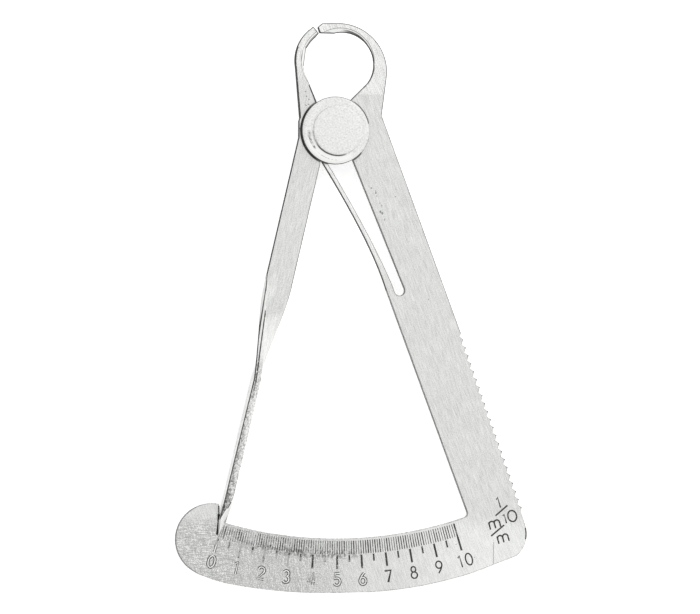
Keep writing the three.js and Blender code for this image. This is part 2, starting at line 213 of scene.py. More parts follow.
# %% Finishes
class Finish(Tree):
    """The node tree of a material, or of the world."""

    def __init__(self, name, owner=None):
        self.owner = owner or bpy.data.materials.new(name)
        self.owner.use_nodes = True
        super().__init__(self.owner.node_tree)

    def mixed(self, share, first, second):
        """A colour between two others."""
        return self.node("Mix", {0: share, 6: first, 7: second}, output=2, data_type="RGBA")

    def place(self):
        return self.node("TexCoord", output="Object")

    def axis(self, name):
        """X, Y or Z of a place in the piece."""
        return self.node("SeparateXYZ", {"Vector": self.place()}, output=name)

    def seen_flat(self):
        """Places in the piece without their height."""
        return self.node("VectorMath", {0: self.place(), 1: (1, 1, 0)}, operation="MULTIPLY")

    def from_disc(self):
        """The same, from the middle of the pivot's disc."""
        return self.node("VectorMath", {0: self.seen_flat(), 1: (DISC_SHIFT, 0, 0)}, operation="SUBTRACT")

    def length(self, vector):
        return self.node("VectorMath", {0: vector}, output="Value", operation="LENGTH")

    def reach(self, vector, way):
        """How far a vector goes in a direction."""
        return self.node("VectorMath", {0: vector, 1: tuple(way)}, output="Value", operation="DOT_PRODUCT")

    def stretched(self, size, turn=0.0, centre=(0, 0, 0)):
        """Places in the piece, measured in steps of this size and turned about +Z."""
        return self.node(
            "Mapping",
            {"Vector": self.place(), "Location": centre, "Rotation": (0, 0, turn), "Scale": size},
            vector_type="TEXTURE",
        )

    def noise(self, size, turn=0.0, detail=2.0):
        values = {"Vector": self.stretched(size, turn), "Scale": 1.0, "Detail": detail, "Roughness": 0.6}
        return self.node("TexNoise", values)

    def cells(self, size):
        return self.node("TexVoronoi", {"Vector": self.stretched(size), "Scale": 1.0})

    def bumps(self, strength, depth, height):
        return self.node("Bump", {"Strength": strength, "Distance": depth, "Height": height})

    def shown(self, surface):
        self.node("OutputMaterial", {"Surface": surface})
        print("finish", self.owner.name, "nodes:", len(self.tree.nodes))
        return self.owner

    def bright_metal(self, colour, metallic, roughness, bumps):
        values = {"Base Color": colour, "Metallic": metallic, "Roughness": roughness, "Normal": bumps}
        return self.shown(self.node("BsdfPrincipled", values))

    def dull_metal(self, colour, roughness, specular, bumps=None):
        """Steel with a surface so rough that it shows its own grey rather than its surroundings."""
        values = {"Base Color": colour, "Roughness": roughness, "Specular IOR Level": specular}
        if bumps:
            values["Normal"] = bumps
        return self.shown(self.node("BsdfPrincipled", values))


def grey(level):
    """Steel is a touch greener than neutral grey."""
    return (level, level * 1.008, level * 0.985, 1.0)


# %% [markdown]
# Floor and light. The caliper lies on a white table inside a pale tent. The tent is brightest at the upper right and
# darker at the lower left, because bare steel shows nothing but its surroundings: the darker side draws the thin
# lines along every edge that faces it. One soft lamp at the upper right adds the faint shadow.

# %% Floor
FLOOR_GAP = 0.02 * mm
FLOOR_REACH = 6

floor_mesh = bpy.data.meshes.new("floor")
floor_z = cad_low.z - FLOOR_GAP
floor_mesh.from_pydata(
    [(x * FLOOR_REACH, y * FLOOR_REACH, floor_z) for x, y in ((-1, -1), (1, -1), (1, 1), (-1, 1))],
    [],
    [(0, 1, 2, 3)],
)
floor = in_scene("floor", floor_mesh)

table_top = Finish("table_top")
seen_by_camera = table_top.node("LightPath", output="Is Camera Ray")
seen_in_steel = table_top.node("LightPath", output="Is Glossy Ray")
seen_through = table_top.node("LightPath", output="Is Transmission Ray")
floor_lift = seen_by_camera.at_least(seen_in_steel).at_least(seen_through)
paint = table_top.node("BsdfDiffuse", {"Color": (0.86, 0.86, 0.86, 1)})
glow = table_top.node("Emission", {"Color": (1, 1, 1, 1), "Strength": floor_lift * 0.5})
floor.data.materials.append(table_top.shown(table_top.node("AddShader", {0: paint, 1: glow})))

# %% Tent and lamp
TENT_BRIGHT, TENT_DARK = 1.0, 0.6
BRIGHT_SIDE = Vector((0.62, 0.5, 0.6)).normalized()

studio = bpy.data.worlds.new("studio")
bpy.context.scene.world = studio
tent = Finish("studio", studio)
towards = tent.node("TexCoord", output="Generated")
brightness = tent.reach(towards, BRIGHT_SIDE)
level = TENT_DARK + (TENT_BRIGHT - TENT_DARK) * brightness.ramp(-0.55, 0.45)
tent.node(
    "OutputWorld",
    {"Surface": tent.node("Background", {"Color": (1, 1, 1, 1), "Strength": level})},
)


def softbox(name, place, size, radiance):
    """A round lamp that faces the caliper. A disk's power is its radiance times pi times its area."""
    data = bpy.data.lights.new(name, "AREA")
    data.shape, data.size = "DISK", size
    data.energy = radiance * math.pi * math.pi * size * size / 4
    lamp = in_scene(name, data)
    lamp.location = place
    lamp.rotation_mode = "QUATERNION"
    lamp.rotation_quaternion = (Vector(place) - aim).to_track_quat("Z", "Y")
    print(name, "watts:", round(data.energy, 2))


softbox("softbox", place=(0.45, 0.42, 0.55), size=0.3, radiance=3.0)

# %% [markdown]
# The flat faces of both levers carry three kinds of marks. Old ink stains the foot of the scale's finest lines.
# Painted shadow fills the corner round the disc, widest at the left, with two short arcs elsewhere. A few cells of a
# Voronoi texture become pits. Painting them on an image would be quick, but formulas stay sharp at any size.

# %% Stain, painted shadow and pits
STAIN_RING, STAIN_SPAN = (73.9, 74.5, 75.2, 76), (-22, -9, 0, 7)
# the side where the painted shadow round the disc is widest, and its two short arcs
SHADOW_SIDE = (-0.99, -0.14, 0)
SHADOW_ARCS = ((35, 0.94), (-53, 0.985))  # bearing in degrees, and the cosine of half the arc's width


def scale_stain(steel):
    """Patchy old ink on a ring of the scale."""
    patches = steel.noise((0.4 * mm, 0.5 * mm, 1 * mm), detail=3.0).ramp(0.42, 0.6)
    ring = steel.length(steel.seen_flat()).between(*STAIN_RING)
    return ring * steel.axis("X").between(*STAIN_SPAN) * patches


def grime_at_disc(steel, cloud):
    """Painted shadow: a broad patch at the left of the disc, a thin broken line all round it, and the arcs."""
    from_disc = steel.from_disc()
    gap = steel.length(from_disc)
    beside = (steel.reach(from_disc, SHADOW_SIDE) / gap).ramp(0.3, 0.75)
    disc_shadow = gap.ramp(DISC_RADIUS + 0.3 * mm, DISC_RADIUS + 0.2 * mm) * beside
    rim_line = gap.ramp(DISC_RADIUS + 0.14 * mm, DISC_RADIUS + 0.06 * mm)
    disc_shadow = disc_shadow.at_least(rim_line * cloud.ramp(0.4, 0.5) * 0.8)
    for bearing, spread in SHADOW_ARCS:
        way = (math.cos(math.radians(bearing)), math.sin(math.radians(bearing)), 0)
        within = (steel.reach(from_disc, way) / gap).ramp(spread - 0.02, spread)
        arc = gap.ramp(DISC_RADIUS + 0.27 * mm, DISC_RADIUS + 0.21 * mm) * within
        disc_shadow = disc_shadow.at_least(arc * 0.75)
    return disc_shadow


def pits_in(steel, turn, dents):
    """Scattered pits, and close ones in an oval patch. dents gives the patch's centre and half sizes."""
    where = steel.noise((2.4 * mm, 2.4 * mm, 2.4 * mm), detail=1.0)
    pits = steel.cells((0.9 * mm, 0.9 * mm, 0.9 * mm)).ramp(0.16, 0.08) * where.ramp(0.62, 0.7)
    if dents:
        centre, size = dents
        patch = steel.length(steel.stretched(size, turn, centre)).ramp(1.0, 0.7)
        pits = pits.at_least(steel.cells((0.6 * mm, 0.9 * mm, 0.6 * mm)).ramp(0.34, 0.2) * patch)
    return pits


# %% [markdown]
# The steel itself was brushed along the strip, and years of use have rubbed it. Long thin noise makes the brushing
# and fine round noise the speckle. The jaws and the tongue were polished again afterwards, so there the speckle fades
# and the steel is lighter. The scale's left end was rubbed crosswise. The bump is shallow, because brushing is felt
# more in the shine than in the shape.

# %% Brushed steel
FRONT_SKIN = 0.3 * mm


def brushed_steel(name, turn, polished_from, fade, on_scale=0.0, dents=None):
    """turn is the way of the brushing, polished_from and fade the height where the polish starts and how softly."""
    steel = Finish(name)
    x, y = steel.axis("X"), steel.axis("Y")
    polish = y.ramp(polished_from - fade, polished_from + fade)
    in_front = steel.axis("Z").ramp(SHEET_BACK + FRONT_SKIN, SHEET_FRONT - FRONT_SKIN)

    grain = steel.noise((0.13 * mm, 2.4 * mm, 2 * mm), turn, detail=3.0)
    speckle = steel.noise((0.15 * mm, 0.15 * mm, 0.6 * mm))
    cloud = steel.noise((3 * mm, 5 * mm, 5 * mm))
    rubbed = (grain - 0.5) + (speckle - 0.5) * 1.1 + (cloud - 0.5) * 0.12

    band = y.ramp(-67 * mm, -71.5 * mm) * in_front * on_scale
    worn, fresh = x.ramp(7 * mm, -10 * mm) * band, x.ramp(8 * mm, 26 * mm) * band
    lobe = x.ramp(-15 * mm, -20 * mm) * band
    level_lines = steel.noise((1.3 * mm, 0.17 * mm, 2 * mm), detail=1.0)
    uprights = steel.noise((0.16 * mm, 1.6 * mm, 2 * mm))
    crossed = (speckle - 0.5) * 2.6 * worn + (uprights - 0.5) * 1.2 * worn + (level_lines - 0.5) * 2.0 * lobe

    stain = scale_stain(steel) * in_front * on_scale
    # painted shadow round the disc
    disc_shadow = grime_at_disc(steel, cloud) * in_front
    pits = pits_in(steel, turn, dents)
    tone = 0.52 + (rubbed + crossed) * (1 + polish * 0.7) + polish * 0.2 - worn * 0.28 + fresh * 0.2
    clean = steel.mixed(tone.ramp(-0.2, 1.2), grey(0.42), grey(0.98))
    stained = steel.mixed(stain * 0.8, clean, grey(0.16))
    with_disc_shadow = steel.mixed(disc_shadow, stained, grey(0.03))
    colour = steel.mixed(pits * 0.75, with_disc_shadow, grey(0.16))
    rough = 0.4 - polish * 0.08 + (speckle - 0.5) * 0.2 + pits * 0.2 + disc_shadow * 0.3
    height = (grain + speckle * 1.5 + crossed * 0.3) * (1 - polish * 0.5) - pits * 4
    return steel.bright_metal(colour, 1.0 - disc_shadow * 0.8, rough, steel.bumps(0.3, 0.004 * mm, height))


# %% Steel of the frame, the pointer and the tongue
by_slot = ((7.1 * mm, -12.4 * mm, 0), (0.8 * mm, 4.6 * mm, 9 * mm))
on_jaw = ((-5.4 * mm, 6.2 * mm, 0), (0.6 * mm, 2.3 * mm, 9 * mm))
frame_steel = brushed_steel("brushed_frame_steel", LIMB_ANGLE, 6.5 * mm, 0.25 * mm, 1.0, by_slot)
pointer_steel = brushed_steel("brushed_pointer_steel", -ARM_ANGLE, 9.5 * mm, 2.5 * mm, 0.0, on_jaw)
tongue_steel = brushed_steel("brushed_tongue_steel", LIMB_ANGLE, -24 * mm, 3.5 * mm)

# %% [markdown]
# The edges were sheared and filed by hand, and nobody polished them. They are duller and darker than the faces, with
# dark specks. A rough dull finish shows that, and its greys are darkened further as painted shade, which draws the
# thin dark line that a sheet shows round its edge.

# %% Cut edges
def cut_steel(name, low, high, dark, lobe=0.0):
    """From low to high are its greys, dark is the grey of its specks, lobe the share of painted shade at the scale's
    left.
    """
    edge = Finish(name)
    grain = edge.noise((0.3 * mm, 0.3 * mm, 0.3 * mm), detail=3.0)
    specks = edge.noise((0.16 * mm, 0.3 * mm, 0.2 * mm), -ARM_ANGLE)
    colour = edge.mixed(grain.ramp(0.3, 0.7), grey(low), grey(high))
    colour = edge.mixed(specks.ramp(0.5, 0.62) * 0.75, colour, grey(dark))
    # painted shade darkens the edges at the scale's left end
    shade_at_lobe = edge.axis("X").ramp(-23 * mm, -26 * mm)
    colour = edge.mixed(shade_at_lobe * grain.ramp(0.25, 0.5) * lobe, colour, grey(0.03))
    return edge.dull_metal(colour, 0.55 + grain * 0.2, 0.2, edge.bumps(0.5, 0.02 * mm, grain + specks))


# greys set as dark as each edge looks: partly the steel's own dull grey, partly painted shade
edge_steel_and_shade = cut_steel("filed_edges_and_shade", 0.04, 0.1, 0.025)
limb_edge = cut_steel("filed_limb_edges", 0.22, 0.45, 0.09)
pale_edge = cut_steel("rubbed_edges", 0.5, 0.85, 0.2, 0.6)

# %% [markdown]
# The flats inside the jaws and on the needle were ground bright. Where such a flat meets the sheet's face a thin
# dark line of painted shade runs, and painted shade darkens the flats where they are deepest. Height alone tells
# where that is, so the finish reads it from Z, and no edge has to be marked by hand.

# %% Ground flats
def ground_steel():
    flat = Finish("ground_flats")
    x, z = flat.axis("X"), flat.axis("Z")
    streaks = flat.noise((0.3 * mm, 0.3 * mm, 0.3 * mm), detail=3.0)
    line = z.ramp(SHEET_FRONT - 0.11 * mm, SHEET_FRONT - 0.07 * mm) * z.ramp(SHEET_FRONT + 0.2 * mm, SHEET_FRONT)
    right_jaw = z.ramp(SHEET_FRONT - 0.24 * mm, SHEET_FRONT - 0.32 * mm) * x.ramp(0.5 * mm, 2.5 * mm)
    left_jaw = z.ramp(SHEET_FRONT - 0.33 * mm, SHEET_FRONT - 0.4 * mm) * x.ramp(-1.5 * mm, -3 * mm)
    # painted shade at the flats' crease line and in the jaws' deepest parts
    painted_shade = line.at_least(right_jaw).at_least(left_jaw * 0.8)
    colour = flat.mixed(streaks.ramp(0.55, 0.75) * 0.3, grey(0.98), grey(0.4))
    return flat.dull_metal(flat.mixed(painted_shade * 0.85, colour, grey(0.04)), 0.55, 0.3)


bevel_steel = ground_steel()

# %% [markdown]
# The standing blade turns its filed edge to the reader. It is bright at its right side, mottled at its left, and
# darker towards the needle. In the twist two dark reflections cross it from the front of the sheet to the back. Real
# reflections of a room would have to be staged for them, so they are drawn as two bowed lines on the steel instead.

# %% Blade edge
# For each line in the twist: where it starts down the arm and how long it is, its height through the sheet at its
# start and its end, how far it bows, its half width and its strength.
TWIST_LINES = (
    (29.6 * mm, 9.7 * mm, 0.66 * mm, -0.58 * mm, 0.45, 0.2 * mm, 1.9),
    (34.4 * mm, 11.6 * mm, 0.6 * mm, -0.2 * mm, 1.0, 0.16 * mm, 1.5),
)
LINES_END = (49 * mm, 45 * mm)


def height_through_sheet(edge, along, across):
    """How far a place lies in front of the twisted sheet's middle."""
    share = ((along - TWIST_START) / TWIST_LENGTH).clipped()
    turn = share * (3 - share) * (math.pi / 4)
    return (edge.axis("Z") - SHEET_MIDDLE) * turn.maths("COSINE") + (across + ARM_OFFSET) * turn.maths("SINE")


def blade_steel_finish():
    edge = Finish("filed_blade_edge")
    along, across = edge.reach(edge.place(), ARM_DOWN), edge.reach(edge.place(), ARM_RIGHT)
    standing = along.ramp(44 * mm, 50 * mm)
    left = across.ramp(-ARM_OFFSET + 0.5 * mm, -ARM_OFFSET - 0.6 * mm) * standing
    foot, lower = along.ramp(63 * mm, 69.5 * mm), along.ramp(47 * mm, 60 * mm)
    bend = along.between(40, 45, 47, 54)
    specks = edge.noise((0.2 * mm, 0.32 * mm, 0.3 * mm), -ARM_ANGLE, detail=3.0)
    patches = edge.noise((0.5 * mm, 1.6 * mm, 1 * mm), -ARM_ANGLE)
    dark = (specks - 0.5) * 3.0 * (0.25 + 0.75 * along.ramp(40 * mm, 48 * mm)) + (patches - 0.5) * 0.35
    side = across + ARM_OFFSET + (along - TWIST_START - TWIST_LENGTH).at_least(0.0) * 0.0095
    line = side.ramp(-0.44 * mm, -0.52 * mm) * standing
    dark = dark + left * 0.3 + foot * 0.3 + lower * 0.28 + bend * 0.3 + line * 1.2 - 0.15
    through = height_through_sheet(edge, along, across)
    for first, length, high, low, bow_out, wide, strong in TWIST_LINES:
        way = ((along - first) / length).clipped()
        middle = high - way * (1 + bow_out - way * bow_out) * (high - low)
        off = (through - middle).maths("ABSOLUTE")
        ends = along.ramp(first - 0.6 * mm, first) * along.ramp(*LINES_END)
        dark = dark + off.ramp(wide, wide * 0.4) * ends * specks.ramp(0.2, 0.45) * strong
    slant = across + ARM_OFFSET + (along - 67.3 * mm) * 0.35
    bright_end = slant.ramp(0.6 * mm, 0.72 * mm) * along.ramp(66.5 * mm, 67.3 * mm)
    dark = dark * (1 - bright_end) - bright_end * 0.2
    colour = edge.mixed(dark.ramp(-0.4, 1.2), grey(0.97), grey(0.06))
    return edge.dull_metal(colour, 0.6, 0.2, edge.bumps(0.4, 0.01 * mm, specks))


blade_steel = blade_steel_finish()

# %% [markdown]
# The disc and the rivet's head were turned on a lathe, so their finish runs in rings about the pivot. The distance
# from the pivot drives the noise. Old oil has left dark streaks at the left. Painted shade darkens the corners below,
# and a painted reflection lightens the lower side of the disc's ring.

# %% Turned steel
OIL_SIDE, LOW_SIDE = (-0.93, -0.37, 0), (-0.34, -0.94, 0)


def turned_steel(name):
    steel = Finish(name)
    radius = steel.length(steel.seen_flat())
    from_disc = steel.from_disc()
    disc_radius = steel.length(from_disc)
    rim = disc_radius.ramp(5.35 * mm, 5.5 * mm)
    head_edge = radius.between(4.15, 4.25, 4.42, 4.5)
    rings = steel.node("TexNoise", {"Vector": steel.node("CombineXYZ", {"X": radius / (0.12 * mm)}), "Scale": 1.0})
    speckle = steel.noise((0.3 * mm, 0.3 * mm, 0.6 * mm), detail=3.0)

    at_left = (steel.reach(from_disc, OIL_SIDE) / disc_radius).ramp(0.92, 0.97)
    streaks = steel.noise((0.25 * mm, 0.7 * mm, 2 * mm), math.radians(25), detail=3.0).ramp(0.35, 0.6)
    on_ring, on_head = disc_radius.between(4.45, 4.75, 4.9, 5.15), disc_radius.between(3.9, 4.05, 4.15, 4.3) * 0.35
    oil = on_ring.at_least(on_head) * at_left * streaks

    below = steel.reach(steel.seen_flat(), LOW_SIDE) / radius
    # painted shade in the corners below the head and inside the rim
    corner = radius.between(4.34, 4.42, 4.52, 4.62) * below.ramp(0.72, 0.9) * 0.85
    shade_inside_rim = radius.between(5.15, 5.25, 5.3, 5.45) * below.ramp(0.9, 0.97) * speckle.ramp(0.4, 0.55) * 0.35
    dirt_and_shade = corner.at_least(shade_inside_rim).at_least(oil * 0.85)

    # painted reflection: the lower side of the ring is lighter
    lower_reflection = below.ramp(0.5, 0.85) * radius.ramp(4.6 * mm, 4.8 * mm) * 0.5
    tone = 0.6 + (rings - 0.5) * 0.6 + (speckle - 0.5) * 1.6 + rim * (rings - 0.5) * 0.6 + lower_reflection
    colour = steel.mixed(dirt_and_shade, steel.mixed(tone.ramp(0.0, 1.0), grey(0.62), grey(0.92)), grey(0.08))
    rough = 0.34 + (speckle - 0.5) * 0.2 + dirt_and_shade * 0.3 + rim * 0.25 + head_edge * 0.3
    return steel.bright_metal(colour, 1.0 - rim * 0.7, rough, steel.bumps(0.15, 0.004 * mm, rings + speckle * 2))


disc_steel = turned_steel("turned_disc_steel")

# %% [markdown]
# The drawn solids have knife-sharp edges, and real sheet has none. Each piece starts as a copy of its solid: loose
# triangles are joined at their corners and flat areas become single polygons, so only real edges are left. Those are
# eased by a few hundredths of a millimetre. A modifier could ease them too, but here the faces of the sheet must be
# told from its cut edges first, because they get different finishes.

# %% Jaw flats and short edges
STEEP = 0.35  # a face whose normal rises more than this looks at the reader
JAWS_FROM = 8 * mm
SHORTEST = 0.16 * mm


def on_jaw_flat(face):
    """The flats that were ground inside the jaws face up, a little lower than the sheet's face."""
    middle = face.calc_center_median()
    return middle.y > JAWS_FROM and face.normal.z > STEEP and middle.z < SHEET_FRONT - 0.03 * mm


def without_short_edges(bm, corners):
    """Joins corners that lie closer together than an eased edge is wide, and cuts the jaws' flats into triangles."""
    bmesh.ops.remove_doubles(bm, verts=corners, dist=SHORTEST)
    bmesh.ops.dissolve_degenerate(bm, dist=1e-6, edges=bm.edges)
    bm.normal_update()
    flats = [face for face in bm.faces if on_jaw_flat(face)]
    bmesh.ops.triangulate(bm, faces=flats)


# %% [markdown]
# An eased edge changes how light runs over the faces beside it. If every corner's normal were a plain average, large
# flat faces would look pillowed. Normals weighted by face size keep them flat, and where a surface's true normal is
# known by a formula, as on the twist, it is set instead.

# %% Normals
def made_mesh(thing):
    """The mesh that an object's modifiers or its curve give."""
    graph = bpy.context.evaluated_depsgraph_get()
    graph.update()
    return bpy.data.meshes.new_from_object(thing.evaluated_get(graph))


def flat_faced(piece, true_normal):
    """Normals weighted by face size, so that large faces stay flat up to their eased edges, or worked out."""
    weighted = piece.modifiers.new("weighted", "WEIGHTED_NORMAL")
    weighted.weight, weighted.keep_sharp = 50, True
    mesh = made_mesh(piece)
    piece.modifiers.clear()
    piece.data = mesh
    if true_normal:
        normals = [corner.vector.copy() for corner in mesh.corner_normals]
        for face in mesh.polygons:
            for loop in face.loop_indices:
                exact = true_normal(face, mesh.vertices[mesh.loops[loop].vertex_index].co)
                normals[loop] = exact or normals[loop]
        mesh.normals_split_custom_set(normals)
    print(piece.name, "polygons:", len(mesh.polygons))
    return piece


# %% Copies with eased edges
SMALLEST_EDGE, FLAT_WITHIN = math.radians(28), math.radians(0.4)
SAME_PLACE = 1e-7


def dressed(node, finishes, ease, kind_of, keep_sharp=None, reshape=None, repaint=None, true_normal=None):
    """A copy of a node's solid with eased edges.

    kind_of gives the place of a face's finish in the list, where 1 is the cut edge, and keep_sharp the edges that
    stay as they are. reshape works on the copy before its edges are eased, and repaint gives an eased edge's finish.
    """
    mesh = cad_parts[node].data.copy()
    mesh.materials.clear()
    mesh.name = node + "_dressed"
    bm = bmesh.new()
    bm.from_mesh(mesh)
    bmesh.ops.remove_doubles(bm, verts=bm.verts, dist=SAME_PLACE)
    bmesh.ops.dissolve_limit(bm, angle_limit=FLAT_WITHIN, verts=bm.verts, edges=bm.edges)
    if reshape:
        reshape(bm)
    ground = len(finishes) - 1 if len(finishes) > 2 else 0
    for face in bm.faces:
        face.smooth = True
        face.material_index = kind_of(face)
    edges = [
        edge
        for edge in bm.edges
        if edge.calc_face_angle(0) > SMALLEST_EDGE
        and not (keep_sharp and keep_sharp(edge))
        and not all(face.material_index in (0, ground) for face in edge.link_faces)
    ]
    made = bmesh.ops.bevel(
        bm,
        geom=edges,
        offset=ease,
        offset_type="OFFSET",
        segments=2,
        profile=0.5,
        affect="EDGES",
        clamp_overlap=False,
        material=1,
        harden_normals=False,
    )
    if repaint:
        for face in made["faces"]:
            face.material_index = repaint(face)
    bm.to_mesh(mesh)
    bm.free()
    for finish in finishes:
        mesh.materials.append(finish)
    return flat_faced(in_scene(node + "_dressed", mesh), true_normal)


# %% [markdown]
# The frame is one cut sheet, and its edges differ. Those of the jaw get the darkest grey and those of the limb a
# lighter one, partly their own dull steel and partly painted shade, and fingers and the needle have rubbed the thumb
# edge and the scale's edges pale. Painting them by hand would be lost at the next change of the drawing, so each face
# is sorted by where it lies and which way it looks.

# %% Kinds of face on the frame
GRIP_START, GRIP_END, GRIP_RIGHT_OF = 41 * mm, 76 * mm, 20 * mm
SCALE_FROM, LIMB_FROM = -64 * mm, -4 * mm
TONGUE_STUB = 29.55 * mm


def along_limb(point):
    return point.dot(LIMB_DOWN)


def flat_sheet(face):
    """0 for the faces of the sheet, 1 for cut edges."""
    return 1 if abs(face.normal.z) < STEEP else 0


def edge_of_frame(face):
    """1 for the jaw's cut edges, darkest with painted shade, 2 for those that fingers have rubbed pale, 3 for the
    limb's.
    """
    middle = face.calc_center_median()
    in_grip = GRIP_START < along_limb(middle) < GRIP_END
    at_teeth = middle.x > GRIP_RIGHT_OF and in_grip and face.normal.x > 0
    at_scale = middle.y < SCALE_FROM and (face.normal.x > -0.6 or middle.x < 0)
    return 2 if at_teeth or at_scale else 3 if middle.y < LIMB_FROM else 1


def frame_face(face):
    """0 for the faces of the sheet, 4 for the flats inside the jaws, and its edges."""
    return 4 if on_jaw_flat(face) else edge_of_frame(face) if flat_sheet(face) else 0


def stays_sharp(edge):
    """The small face where the tongue joins the limb meets the tongue, and the thumb teeth keep their points."""
    ends = [v.co for v in edge.verts]
    at_stub = all(abs(along_limb(end) - TONGUE_STUB) < 0.02 * mm and end.x < 12 * mm for end in ends)
    upright = (ends[0].xy - ends[1].xy).length < 0.01 * mm
    in_grip = GRIP_START - 1 * mm < along_limb(ends[0]) < GRIP_END and ends[0].x > GRIP_RIGHT_OF
    return at_stub or upright and in_grip


# %% Thumb teeth and the scale's rim
FIRST_NOTCH, TOOTH_PITCH, TEETH = 41.7 * mm, 1.5 * mm, 22
NOTCH_DEEPER, RIGHT_OF_SLOT = 0.14 * mm, 3 * mm
RIM_BEYOND, JAW_AND_HUB_FROM = 78 * mm, -20 * mm
RIM_PLACES = (-25.5, -23, -20.5, -18, -15, -12, -7, -2, 3, 6, 14, 24, 27, 30, 32)
RIM_SHIFTS = (0.0, 0.22, 0.38, 0.27, 0.16, 0.03, -0.12, -0.26, -0.36, -0.2, -0.1, -0.1, -0.22, -0.34, -0.1)


def deeper_teeth(bm):
    """Files the notches between the thumb teeth deeper, and the scale's rim a few tenths off its true curve."""
    without_short_edges(bm, [v for v in bm.verts if v.co.y > JAW_AND_HUB_FROM])
    for vertex in bm.verts:
        steps = (along_limb(vertex.co) - FIRST_NOTCH) / TOOTH_PITCH
        notch = 0.5 < steps < TEETH - 0.5 and abs(steps - round(steps)) < 0.06
        if notch and vertex.co.dot(LIMB_RIGHT) > RIGHT_OF_SLOT:
            vertex.co -= NOTCH_DEEPER * LIMB_RIGHT
        if vertex.co.xy.length > RIM_BEYOND:
            shift = np.interp(vertex.co.x / mm, RIM_PLACES, RIM_SHIFTS, left=0.0, right=0.0)
            vertex.co += float(shift) * mm * Vector((*vertex.co.xy.normalized(), 0))


# %% Scale frame
scale_frame = dressed(
    "scale_frame",
    [frame_steel, edge_steel_and_shade, pale_edge, limb_edge, bevel_steel],
    0.14 * mm,
    frame_face,
    stays_sharp,
    deeper_teeth,
    edge_of_frame,
)
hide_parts("scale_frame")
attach(scale_frame, "frame")

# %% [markdown]
# The pointer arm is one strip that is twisted by a quarter turn on its way down. Which of its faces are the rolled
# faces of the sheet depends on how far the twist has gone there, so the sheet's own direction is worked out first.
# The edge of the standing blade looks up at the reader and is filed smoother than the others.

# %% Direction of the twisted sheet
def twist_share(point):
    return min(1, max(0, (point.dot(ARM_DOWN) - TWIST_START) / TWIST_LENGTH))


def sheet_direction(point):
    """The normal of the twisted sheet on its centre line, level with this point."""
    share = twist_share(point)
    turn = share * (3 - share) / 2 * math.pi / 2
    return math.cos(turn) * Vector((0, 0, 1)) + math.sin(turn) * ARM_RIGHT


ARM_MIDDLE = -ARM_OFFSET * ARM_RIGHT + Vector((0, 0, SHEET_MIDDLE))
TWIST_EASE = 0.2  # the share of the twist, at either end, over which its normals soften


def twisted_normal(face, point):
    """The exact normal on the rolled faces of the twist, softened where it starts and ends."""
    share = twist_share(point)
    if face.material_index != 0 or share in (0, 1):
        return None
    middle = sheet_direction(point)
    offset = (point - ARM_MIDDLE).dot(middle.cross(ARM_DOWN))
    soft = min(1, share / TWIST_EASE, (1 - share) / TWIST_EASE)
    pace = math.pi / 2 * (3 - 2 * share) / 2 / TWIST_LENGTH * soft * soft * (3 - 2 * soft)
    normal = (middle + offset * pace * ARM_DOWN).normalized()
    return normal if normal.dot(face.normal) > 0 else -normal


# %% Kinds of face on the pointer
TWIST_END = TWIST_START + TWIST_LENGTH
LEDGE_END = TWIST_START + 1.6 * mm
NEEDLE_START, NEEDLE_SIDE_FROM = 69.0 * mm, 71.9 * mm


def twisted_sheet(face):
    """0 for faces of the sheet, 1 for cut edges, 2 for the blade's upper edge, 3 for ground flats."""
    middle = face.calc_center_median()
    down, across = middle.dot(ARM_DOWN), face.normal.dot(ARM_RIGHT)
    if down > NEEDLE_SIDE_FROM and across < -0.5:
        return 3
    if on_jaw_flat(face) or 0.2 < face.normal.z < 0.97 and down > TWIST_END and across > 0.1:
        return 3
    if TWIST_START - 0.3 * mm < down < LEDGE_END and abs(face.normal.dot(ARM_DOWN)) > 0.3:
        return 0
    if abs(face.normal.dot(sheet_direction(middle))) > 0.45:
        return 0
    rear = face.normal.z < -0.4
    return 2 if rear or face.normal.z > 0.02 and across < 0.2 and TWIST_START < down else 1


def on_needle(edge):
    return all(v.co.dot(ARM_DOWN) > NEEDLE_START for v in edge.verts)


def blade_edge(face):
    """The left eased edge gets the dark grey as painted shade; the right one, facing the light, is painted as bright
    as the edge between them.
    """
    middle = face.calc_center_median()
    down = middle.dot(ARM_DOWN)
    if TWIST_START < down < LEDGE_END and abs(face.normal.dot(ARM_DOWN)) > 0.3:
        return 0
    # right-facing eased edges painted bright as lit, the rest dark as painted shade
    right = face.normal.dot(ARM_RIGHT) > 0.1 and face.normal.z > 0 and down > TWIST_START + TWIST_LENGTH / 2
    in_front = (middle - ARM_MIDDLE).dot(sheet_direction(middle)) > 0.4 * mm and middle.z > SHEET_FRONT
    return 2 if right or in_front and down > TWIST_START + 2.6 * mm else 1


# %% [markdown]
# The real pointer was finished by hand, so it differs from the drawing by a few tenths of a millimetre. Its needle
# leans left and is slimmer, its oblique flat is steeper, and the root of its jaw is wider. A new drawing for each
# would be too much, so single corners are moved. The jaw's two upper edges are kept as lists for the painted shade
# beside them.

# %% Needle and jaw root
FLAT_STARTS, FLAT_ENDS = 68.25 * mm, 72.65 * mm
FLAT_LOWER, FLAT_HIGHER = 0.45 * mm, 1.3 * mm
SLIM_FROM, SLIM_GROWS_FROM, SLIM_GROWS_OVER = 69.5 * mm, 70.11, 1.4
LEAN_FROM, NEEDLE_END, LEAN_OVER = 71 * mm, 75.2 * mm, 3.4 * mm
JAW_ROOT, ROOT_WIDER = Vector((-6.36, 2.15)) * mm, 0.28 * mm
JAW_SHADE_FROM, JAW_SHADE_TO = 1.9 * mm, 15 * mm


def levelled(vertex):
    """Moves a corner of the small ledge at the start of the twist onto the sheet's surface."""
    facing = sheet_direction(vertex.co)
    height = (vertex.co - ARM_MIDDLE).dot(facing)
    if TWIST_START < vertex.co.dot(ARM_DOWN) < LEDGE_END and abs(height) > 0.3 * mm:
        vertex.co += (math.copysign(SHEET_FRONT - SHEET_MIDDLE, height) - height) * facing


